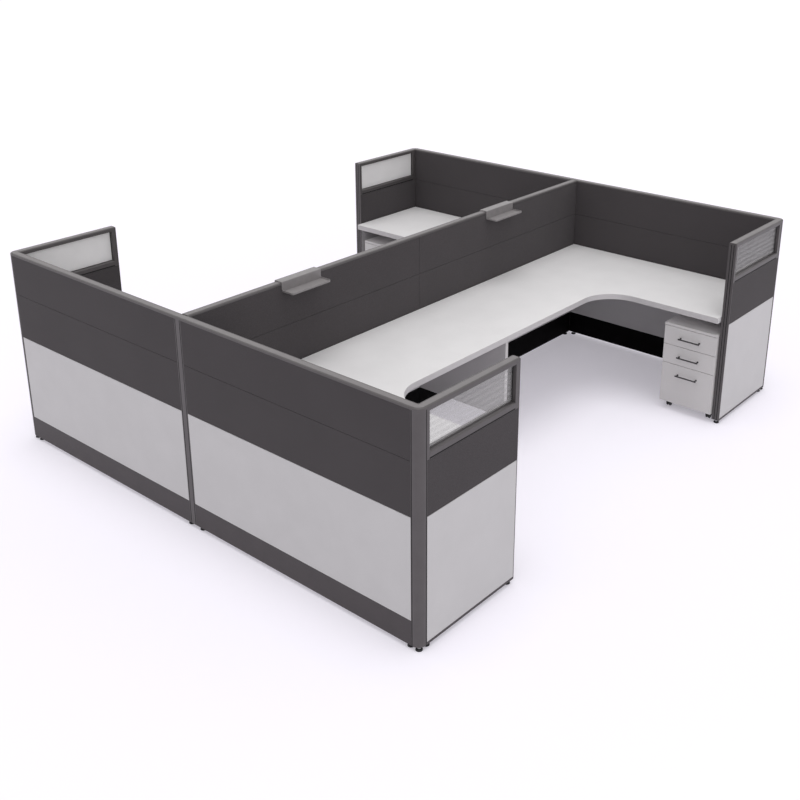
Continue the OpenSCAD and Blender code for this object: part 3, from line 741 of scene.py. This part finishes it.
def corner_cap(bodies, strips, low, high):
    """Corner cap, its two outer sides shouldered as the caps that meet it."""
    size = high.x - low.x
    centre = (size - POST_ROUND, size - POST_ROUND)
    top = high.z - CAP_STRIP_UP
    shoulder = [(top - drop, inset) for drop, inset in rounding(CAP_ROUND, CAP_STEPS)]
    rings = []
    for z, inset in [(low.z, 0.0)] + shoulder[::-1]:
        reach = size - inset
        corner = arc(centre, POST_ROUND - inset, 0, 90, POST_STEPS)
        plan = [(0, 0), (reach, 0)] + corner + [(0, reach)]
        rings.append([(x, y, z) for x, y in placed(plan, low, high)])
    loft(bodies, rings)
    near, far = CAP_STRIP_IN, size - CAP_STRIP_IN
    plan = [(near, 0), (far, 0)] + arc(centre, POST_ROUND - near, 0, 90, POST_STEPS)
    plan += [(0, far), (0, near), (near, near)]
    prism(strips, placed(plan, low, high), high.z - 2 * CAP_STRIP_UP, high.z, STRIP_EDGE)


def straight_cap(bodies, strips, low, high):
    """One length of cap, along X or Y, and the strip let into its top."""
    top = high.z - CAP_STRIP_UP
    strip_low = Vector((low.x, low.y, high.z - 2 * CAP_STRIP_UP))
    strip_high = high.copy()
    if high.x - low.x > high.y - low.y:
        extrude(bodies, cap_section(low.y, high.y, low.z, top), "X", low.x, high.x, CUT_EDGE)
        strip_low.y += CAP_STRIP_IN
        strip_high.y -= CAP_STRIP_IN
    else:
        extrude(bodies, cap_section(low.x, high.x, low.z, top), "Y", low.y, high.y, CUT_EDGE)
        strip_low.x += CAP_STRIP_IN
        strip_high.x -= CAP_STRIP_IN
    block(strips, strip_low, strip_high, STRIP_EDGE, segments=1)


def make_caps():
    """Dark cap profiles with round shoulders, and the strip let into their tops, painted lighter as a
    highlight of the lit top.
    """
    for name, node in (("end_wall_cap", "perimeter_caps"), ("spine_wall_cap", "spine_cap")):
        bodies, strips = bmesh.new(), bmesh.new()
        for low, high in solids(node):
            size = high - low
            is_corner = abs(size.x - size.y) < SAME_LENGTH
            make_cap = corner_cap if is_corner else straight_cap
            make_cap(bodies, strips, low, high)
        piece(name + "_profiles", bodies, "trim_metal", "station", node)
        # The strips' lighter colour is a painted highlight of the lit cap tops
        piece(name + "_strips", strips, "cap_metal", "station")


# Windows: heights of the groove low on a sill's faces, the bevel of its upper edges, the height
# that a sill has at least, how far in from a pane's rim its beads start, and their thickness
SILL_GROOVE = (0.001, 0.009)
SILL_BEVEL = 0.005
SILL_H_MIN = 0.02
PANE_BITE = 0.008
BEAD = 0.003


def sill_section(low, high):
    """Section of the bar under a pane: a groove low on each face, the upper edges bevelled."""
    base, top = low.z + SILL_GROOVE[0], low.z + SILL_GROOVE[1]
    left = [(low.x, low.z), (low.x, base), (low.x + GROOVE_D, base), (low.x + GROOVE_D, top)]
    left += [(low.x, top), (low.x, high.z - SILL_BEVEL), (low.x + SILL_BEVEL, high.z)]
    return left + [(low.x + high.x - x, z) for x, z in reversed(left)]


def window_bar(bars, seals, low, high):
    """Upright or head bar, or a sill with a gasket in the groove of each face, the gasket's near black
    partly painted shade of the groove.
    """
    size = high - low
    if size.z > size.y or size.z < SILL_H_MIN:
        block(bars, low, high, BAR_EDGE)
        return
    extrude(bars, sill_section(low, high), "Y", low.y, high.y)
    base, top = low.z + SILL_GROOVE[0], low.z + SILL_GROOVE[1]
    # Dark rubber gaskets, their near black also painted shade deep in the sill's groove
    for x0, x1 in (
        (low.x + GASKET_IN, low.x + GROOVE_D),
        (high.x - GROOVE_D, high.x - GASKET_IN),
    ):
        block(seals, (x0, low.y, base), (x1, high.y, top), GASKET_EDGE, segments=1)


def pane_beads(bars, seals, low, high):
    """On each face of a pane, a metal bead along its foot and a gasket round the rest."""
    y0, y1 = low.y + PANE_BITE, high.y - PANE_BITE
    z0, z1 = low.z + PANE_BITE, high.z - PANE_BITE
    for x0, x1 in ((low.x - BEAD, low.x), (high.x, high.x + BEAD)):
        block(bars, (x0, y0, z0), (x1, y1, z0 + BEAD), PROFILE_EDGE)
        block(seals, (x0, y0, z1 - BEAD), (x1, y1, z1), PROFILE_EDGE)
        for y in (y0, y1 - BEAD):
            block(seals, (x0, y, z0 + BEAD), (x1, y + BEAD, z1 - BEAD), PROFILE_EDGE)


def make_windows():
    """Window bars, panes, and the beads and gaskets that hold them."""
    bars, seals = bmesh.new(), bmesh.new()
    right, left = bmesh.new(), bmesh.new()
    for low, high in solids("window_frames"):
        window_bar(bars, seals, low, high)
    for low, high in solids("window_panes"):
        block(right if low.x > 0 else left, low, high, PANE_EDGE, segments=1)
        pane_beads(bars, seals, low, high)
    piece("window_bars", bars, "trim_metal", "station", "window_frames")
    piece("right_window_glass", right, "striped_glass", "station", "window_panes")
    # Left panes in their pale look of painted light
    piece("left_window_glass", left, "striped_glass", "station", "window_panes", look=LEFT_PANE_LIT_LOOK)
    piece("window_gaskets", seals, "foot_plastic", "station", look=GASKET)


# Raceway covers: sheet, outer radius of its bends, and the height that a cover has at least
COVER_SHEET = 0.0015
COVER_BEND = 0.0012
COVER_H_MIN = 0.05


def channel_section(face, back, base, top):
    """Section of a folded sheet cover: its face at one side, two flanges to the back."""
    way = 1 if back > face else -1
    depth, height = abs(back - face), top - base
    sheet, bend = COVER_SHEET, COVER_BEND
    points = arc((bend, bend), bend, 270, 180, 4) + arc((bend, height - bend), bend, 180, 90, 4)
    points += [(depth, height), (depth, height - sheet), (sheet, height - sheet)]
    points += [(sheet, sheet), (depth, sheet), (depth, 0)]
    return [(face + way * u, base + v) for u, v in points]


def make_raceways():
    """Folded covers along the feet of the walls, and the strips under the returns."""
    for name, node, slot, outward in (
        ("outer_raceway_lids", "outer_raceway_covers", "raceway_grey", True),
        # Inner covers in near black: their dark colour with painted shade of the knee space under the
        # worktops
        ("inner_raceway_lids", "inner_raceway_covers", "raceway_black", False),
    ):
        bm = bmesh.new()
        for low, high in solids(node):
            size = high - low
            if size.z < COVER_H_MIN:
                block(bm, low, high, COVER_EDGE)
            elif size.x > size.y:
                sides = face_and_back(low.y, high.y, outward)
                extrude(bm, channel_section(*sides, low.z, high.z), "X", low.x, high.x)
            else:
                sides = face_and_back(low.x, high.x, True)
                extrude(bm, channel_section(*sides, low.z, high.z), "Y", low.y, high.y)
        piece(name, bm, slot, "station", node)


# Levelling foot: up the pad's side as (inset from its rim, height), then the nut and the thread
PAD_SIDE = (
    (0.001, 0),
    (0, 0.001),
    (0, 0.004),
    (0.0009, 0.0045),
    (0.0009, 0.0055),
    (0.0004, 0.006),
    (0.004, 0.0092),
    (0.006, 0.010),
)
NUT_R = 0.0092
NUT_LOW = 0.0102
NUT_HIGH = 0.0155
THREAD_CREST = 0.006
THREAD_ROOT = 0.0052
THREAD_PITCH = 0.0015


def threaded_stem(bm, x, y, top):
    """Threaded stem from the lock nut up, its thread as rings."""
    thread = []
    for i in range(int((top - NUT_HIGH) / THREAD_PITCH)):
        z = NUT_HIGH + i * THREAD_PITCH
        thread += [(THREAD_ROOT, z), (THREAD_CREST, z + THREAD_PITCH / 2)]
    lathe(bm, thread + [(THREAD_ROOT, top)], (x, y, 0), UP, sides=20)


def make_feet():
    """Levelling feet: a grooved pad, a lock nut and a threaded stem."""
    pads, stems = bmesh.new(), bmesh.new()
    for low, high in solids("levelling_feet"):
        x, y = (low.x + high.x) / 2, (low.y + high.y) / 2
        r = (high.x - low.x) / 2
        lathe(pads, [(r - inset, z) for inset, z in PAD_SIDE], (x, y, 0), UP)
        nut = arc((x, y), NUT_R, 0, 300, 5)
        prism(stems, nut, NUT_LOW, NUT_HIGH, METAL_EDGE)
        threaded_stem(stems, x, y, high.z)
    piece("levelling_pads", pads, "foot_plastic", "station", "levelling_feet")
    piece("levelling_stems", stems, "runner_steel", "station")


# Worktops: radius of the front curve, thickness and rounding of the edge band, and its glue line.
# A band that is narrower than a worktop's is a gable's.
CURVE_R = 0.230
CURVE_STEPS = 32
BAND_T = 0.002
BAND_ROUND = 0.0016
BAND_STEPS = 3
GLUE_LINE = 0.0001
WORKTOP_BAND_MIN = 0.1


def front_line(front, end, seam, inset):
    """A worktop's front edge in one quarter, from the seam round the curve to its end."""
    centre = (front[0] + CURVE_R, front[1] - CURVE_R)
    curve = arc(centre, CURVE_R + inset, 180, 90, CURVE_STEPS)
    return [(front[0] - inset, seam)] + curve + [(end, front[1] + inset)]


def make_worktop(boards, bands, low, high, front):
    """One board, and an eased band glued round its front edge."""
    sx, sy = quarter(low, high)
    back_x, end = sorted((abs(low.x), abs(high.x)))
    seam, back_y = sorted((abs(low.y), abs(high.y)))
    edge = front_line(front, end, seam, BAND_T + GLUE_LINE)
    plan = [(back_x, seam)] + edge + [(end, back_y), (back_x, back_y)]
    prism(boards, [(sx * u, sy * v) for u, v in plan], low.z, high.z, CUT_EDGE)
    round_edge = rounding(BAND_ROUND, BAND_STEPS)
    heights = [(low.z + drop, inset) for drop, inset in round_edge]
    heights += [(high.z - drop, inset) for drop, inset in reversed(round_edge)]
    glued = front_line(front, end, seam, BAND_T)[::-1]
    rings = []
    for z, inset in heights:
        outline = front_line(front, end, seam, inset) + glued
        rings.append([(sx * u, sy * v, z) for u, v in outline])
    loft(bands, rings)


def make_worktops():
    """Four worktops with their edge bands, and the gables under them."""
    boards, bands, gables = bmesh.new(), bmesh.new(), bmesh.new()
    fronts = {}
    for low, high in solids("edge_bands"):
        if high.x - low.x < WORKTOP_BAND_MIN:
            block(bands, low, high, BOARD_EDGE)
            continue
        front_x = min(abs(low.x), abs(high.x)) + BAND_T
        front_y = max(abs(low.y), abs(high.y)) - BAND_T
        fronts[quarter(low, high)] = (front_x, front_y)
    for low, high in solids("worktops"):
        make_worktop(boards, bands, low, high, fronts[quarter(low, high)])
    for low, high in solids("support_gables"):
        block(gables, low, high, BOARD_EDGE)
    piece("worktop_boards", boards, "worktop_laminate", "station", "worktops")
    piece("edge_band_strips", bands, "edge_plastic", "station", "edge_bands")
    piece("gable_boards", gables, "gable_laminate", "station", "support_gables")


# Brackets: sheet, heights that tell angles, arms and gable angles apart, and where the screws
# go, as shares of an angle's and an arm's length and the distance from an arm's middle
BRACKET_SHEET = 0.003
ARM_H_MIN = 0.05
ARM_H_MAX = 0.2
ANGLE_SCREWS = (0.12, 0.5, 0.88)
ARM_SCREWS = (0.35, 0.85)
ARM_SCREW_SIDE = 0.011

# Screw head as (radius, height): a rounded pan with a socket sunk into it
SCREW_HEAD = (
    (0.0042, 0),
    (0.0042, 0.0012),
    (0.00357, 0.0021),
    (0.0021, 0.0025),
    (0.00189, 0.0025),
    (0.00189, 0.0008),
    (0.0002, 0.0008),
)


def screw(bm, x, y, z):
    """Pan-head screw driven upwards, its head standing down off the face at z."""
    lathe(bm, SCREW_HEAD, (x, y, z), DOWN, sides=18)


def arm_screws(bm, low, high):
    """Two pairs of screws along an arm, counted from the wall that it stands out from."""
    size, middle = high - low, (low + high) / 2
    under = high.z - BRACKET_SHEET
    for share in ARM_SCREWS:
        for step in (-ARM_SCREW_SIDE, ARM_SCREW_SIDE):
            if size.x > size.y:
                out = low.x + share * size.x if low.x > 0 else high.x - share * size.x
                screw(bm, out, middle.y + step, under)
            else:
                out = high.y - share * size.y if low.y > 0 else low.y + share * size.y
                screw(bm, middle.x + step, out, under)


def make_brackets():
    """Steel brackets as built, with the screws that hold the worktops to them."""
    dress("worktop_brackets", "bracket_steel", METAL_EDGE)
    bm = bmesh.new()
    for low, high in solids("worktop_brackets"):
        height = high.z - low.z
        if ARM_H_MIN <= height <= ARM_H_MAX:
            arm_screws(bm, low, high)
        elif height < ARM_H_MIN:
            for share in ANGLE_SCREWS:
                y = low.y + share * (high.y - low.y)
                screw(bm, (low.x + high.x) / 2, y, high.z - BRACKET_SHEET)
    piece("bracket_screws", bm, "runner_steel", "station")


# Tray: sheet, thickness of the saddle and its outer bends, depth of the hook behind the wall,
# the shelf's rim, its corners in plan and the cove inside its foot
TRAY_SHEET = 0.003
TRAY_SADDLE = 0.006
TRAY_BEND = 0.004
TRAY_HOOK = 0.0225
TRAY_RIM = 0.008
TRAY_CORNER = 0.016
TRAY_COVE = 0.002

# The shelf's eased lower edge as (inset, height)
TRAY_FOOT = ((0.001, 0), (0.0003, 0.0003), (0, 0.001))


def shelf_outline(x0, low, high, inset):
    """Plan of a tray's shelf, square at the wall and round at its outer corners."""
    r = TRAY_CORNER
    points = [(x0, low.y + inset)]
    points += arc((high.x - r, low.y + r), r - inset, 270, 360, 10)
    points += arc((high.x - r, high.y - r), r - inset, 0, 90, 10)
    return points + [(x0, high.y - inset)]


def saddle_section(low, high, inner, outer):
    """Section of the sheet folded over the wall: hook, saddle and back plate."""
    hook, under, bend = high.z - TRAY_HOOK, high.z - TRAY_SADDLE, TRAY_BEND
    points = [(-outer, hook), (-inner, hook), (-inner, under), (inner, under)]
    points += [(inner, low.z), (outer, low.z)]
    points += arc((outer - bend, high.z - bend), bend, 0, 90, 6)
    return points + arc((-outer + bend, high.z - bend), bend, 90, 180, 6)


def make_tray(node):
    """Moulded tray: a saddle folded over the wall, and a shelf with a rolled rim."""
    low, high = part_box(node)
    inner = -low.x - TRAY_SHEET
    outer = inner + TRAY_SHEET
    bm = bmesh.new()
    extrude(bm, saddle_section(low, high, inner, outer), "Y", low.y, high.y, TRAY_EDGE)
    floor_z, lip = low.z + TRAY_SHEET, TRAY_SHEET / 2
    rim_z = floor_z + TRAY_RIM
    wall = [(inset, low.z + height) for inset, height in TRAY_FOOT]
    wall += arc((lip, rim_z - lip), lip, 180, 0, 6)
    wall += arc((TRAY_SHEET + TRAY_COVE, floor_z + TRAY_COVE), TRAY_COVE, 180, 270, 3)
    rings = []
    for inset, z in wall:
        plan = shelf_outline(outer - lip, low, high, inset)
        rings.append([(x, y, z) for x, y in plan])
    loft(bm, rings)
    piece(node + "_moulding", bm, "tray_plastic", node, node)


# Drawers: a box's side boards are higher and longer than this, and the edges of a rail lie this
# far within those of its runner
SIDE_H_MIN = 0.03
SIDE_L_MIN = 0.05
RAIL_IN = 0.002


def make_box(side, name, body, front_low, front_high):
    """A drawer's box of boards, with a steel rail along each side that rides on a runner."""
    boards, rails = bmesh.new(), bmesh.new()
    found = solids(name + "_drawer_box")
    board_t = next(high.y - low.y for low, high in found if high.y - low.y < SIDE_L_MIN)
    runner_low, runner_high = next(
        pair for pair in solids(side + "_runners") if front_low.z < pair[0].z < front_high.z
    )
    for low, high in found:
        size = high - low
        if size.z <= SIDE_H_MIN or size.y <= SIDE_L_MIN:
            block(boards, low, high, BOX_EDGE)
            continue
        rail_t = (high.x - low.x) - board_t
        board_low, board_high = low.copy(), high.copy()
        rail_low, rail_high = low.copy(), high.copy()
        if low.x + high.x > front_low.x + front_high.x:
            board_high.x = rail_low.x = high.x - rail_t
        else:
            board_low.x = rail_high.x = low.x + rail_t
        rail_low.z = runner_low.z + RAIL_IN
        rail_high.z = runner_high.z - RAIL_IN
        block(boards, board_low, board_high, BOX_EDGE)
        block(rails, rail_low, rail_high, METAL_EDGE)
    piece(name + "_box_boards", boards, "drawer_box_board", body, name + "_drawer_box")
    piece(name + "_box_rails", rails, "runner_steel", body)


def make_drawer(side, level):
    """One drawer: its front board, its box with the rails, and its handle."""
    name = f"{side}_{level}"
    body = name + "_drawer"
    low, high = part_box(name + "_drawer_front")
    bm = bmesh.new()
    block(bm, low, high, FRONT_EDGE, segments=3)
    piece(name + "_front_board", bm, "pedestal_laminate", body, name + "_drawer_front")
    make_box(side, name, body, low, high)
    make_handle(name, body)


# Bar handle: from its end inwards as (inset, distance), then where its posts stand and, from the
# drawer's front outwards, a post's foot as (radius, distance)
HANDLE_END = ((0.0016, 0), (0.0005, 0.0005), (0, 0.0016), (0, 0.016), (0.0005, 0.020))
HANDLE_POST_IN = 0.009
HANDLE_POST_R = 0.004
HANDLE_COLLAR = ((0.0062, 0), (0.0062, 0.0012), (0.0050, 0.0022), (HANDLE_POST_R, 0.004))


def make_handle(name, body):
    """Bar handle, a little thicker at its ends, on two posts with collars."""
    low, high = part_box(name + "_handle")
    r = (high.z - low.z) / 2
    y, z = low.y + r, (low.z + high.z) / 2
    length = high.x - low.x
    bm = bmesh.new()
    half = [(r - inset, along) for inset, along in HANDLE_END]
    bar = half + [(radius, length - along) for radius, along in reversed(half)]
    lathe(bm, bar, (low.x, y, z), ACROSS)
    post = HANDLE_COLLAR + ((HANDLE_POST_R, high.y - y),)
    for x in (low.x + HANDLE_POST_IN, high.x - HANDLE_POST_IN):
        lathe(bm, post, (x, high.y, z), FORWARD, sides=24)
    piece(name + "_bar_handle", bm, "handle_metal", body, name + "_handle")


# Castor: height and thickness of the flange under the pedestal, its stem, and the block between
# the wheels with its hub
FLANGE_Z = 0.0466
FLANGE_T = 0.008
STEM_R = 0.005
BLOCK_HALF = 0.004
BLOCK_BACK = 0.009
BLOCK_TOP = FLANGE_Z + 0.001
HUB_R = 0.008

# Hood over the wheels: how far its inner and its outer face lie from their treads, how far its
# sides lie within theirs, and where its arc starts and ends in degrees
HOOD_GAP = 0.0013
HOOD_OUT = 0.0030
HOOD_IN = 0.0008
HOOD_START = 12
HOOD_END = 168
HOOD_STEPS = 20

# Wheels: their gap to the block, their bore, and the axle with how far it stands out of the block
WHEEL_GAP = 0.0005
BORE_R = 0.0032
AXLE_R = 0.003
AXLE_OUT = 0.001

# A wheel's stepped tread as (inset, distance from either side), then its outer side: how deep the
# dish in it is, and the hub cap as (radius, distance from that side)
TREAD = ((0.0034, 0), (0.0026, 0.0006), (0.0012, 0.0008), (0, 0.0022))
DISH = 0.0016
CAP = ((0.0085, 0.0020), (0.0080, 0.0004), (0.0060, 0), (0.0010, 0))


def make_castor_body(name, fork, body, axle, wheel_r, wheel_half):
    """Flange and stem, the block that holds the axle, and the hood over the wheels."""
    low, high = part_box(fork)
    x, axle_y, axle_z = axle
    flange_r = (high.x - low.x) / 2
    y = low.y + flange_r
    stem_top = high.z - FLANGE_Z
    bm = bmesh.new()
    flange = (
        (flange_r - 0.002, 0),
        (flange_r, 0.0015),
        (flange_r, FLANGE_T - 0.002),
        (flange_r - 0.0015, FLANGE_T),
        (STEM_R + 0.002, FLANGE_T),
        (STEM_R, FLANGE_T + 0.0003),
        (STEM_R, stem_top - 0.001),
        (STEM_R - 0.001, stem_top),
    )
    lathe(bm, flange, (x, y, FLANGE_Z), UP)
    centre = (axle_y, axle_z)
    side_view = [(y - BLOCK_BACK, BLOCK_TOP)] + arc(centre, HUB_R, 180, 360, 12)
    side_view += [(axle_y + HUB_R, BLOCK_TOP)]
    extrude(bm, side_view, "X", x - BLOCK_HALF, x + BLOCK_HALF, CASTOR_EDGE)
    outer = arc(centre, wheel_r + HOOD_OUT, HOOD_START, HOOD_END, HOOD_STEPS)
    inner = arc(centre, wheel_r + HOOD_GAP, HOOD_END, HOOD_START, HOOD_STEPS)
    hood_half = wheel_half - HOOD_IN
    extrude(bm, outer + inner, "X", x - hood_half, x + hood_half, CASTOR_EDGE)
    piece(name, bm, "castor_plastic", body, fork)


def make_wheels(name, wheels, axle, r, half):
    """Twin wheels with stepped treads and hub caps, on their axle."""
    x, y, z = axle
    bm = bmesh.new()
    width = half - BLOCK_HALF - WHEEL_GAP
    inner = [(r - inset, along) for inset, along in TREAD]
    outer = [(radius, width - along) for radius, along in reversed(inner[1:])]
    face = [(inner[0][0], width - DISH)] + [(radius, width - along) for radius, along in CAP]
    for way in (-1, 1):
        start = (x + way * (BLOCK_HALF + WHEEL_GAP), y, z)
        lathe(bm, [(BORE_R, 0)] + inner + outer + face, start, (way, 0, 0), sides=40)
    reach = BLOCK_HALF + AXLE_OUT
    lathe(bm, ((AXLE_R, -reach), (AXLE_R, reach)), axle, ACROSS, sides=24)
    piece(name, bm, "wheel_plastic", wheels, wheels)


def make_castor(side, number):
    """Twin-wheel castor: the fork's body on its swivel, and the wheels that turn in it."""
    fork, wheels = f"{side}_fork_{number}", f"{side}_wheels_{number}"
    fork_low, fork_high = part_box(fork)
    low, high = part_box(wheels)
    middle = (low + high) / 2
    axle = ((fork_low.x + fork_high.x) / 2, middle.y, middle.z)
    r, half = (high.z - low.z) / 2, (high.x - low.x) / 2
    make_castor_body(f"{side}_castor_body_{number}", fork, f"{side}_castor_{number}", axle, r, half)
    make_wheels(f"{side}_twin_wheels_{number}", wheels, axle, r, half)


def make_pedestal(side):
    """Case boards, runners, three drawers and four castors of one pedestal."""
    bm = bmesh.new()
    for low, high in solids(side + "_case"):
        block(bm, low, high, BOARD_EDGE)
    piece(side + "_case_boards", bm, "pedestal_laminate", side + "_pedestal", side + "_case")
    dress(side + "_runners", "runner_steel", RUNNER_EDGE)
    for level in ("top", "middle", "bottom"):
        make_drawer(side, level)
    for number in range(1, 5):
        make_castor(side, number)


make_camera()
make_dome()
make_lamps()
make_floor()
dress("panel_frames", "frame_steel", CUT_EDGE)
make_tiles()
make_posts()
make_caps()
make_windows()
make_raceways()
make_feet()
make_worktops()
make_brackets()
make_tray("near_tray")
make_tray("far_tray")
make_pedestal("right")
make_pedestal("left")

view = bpy.context.scene.view_settings
view.view_transform = "Standard"
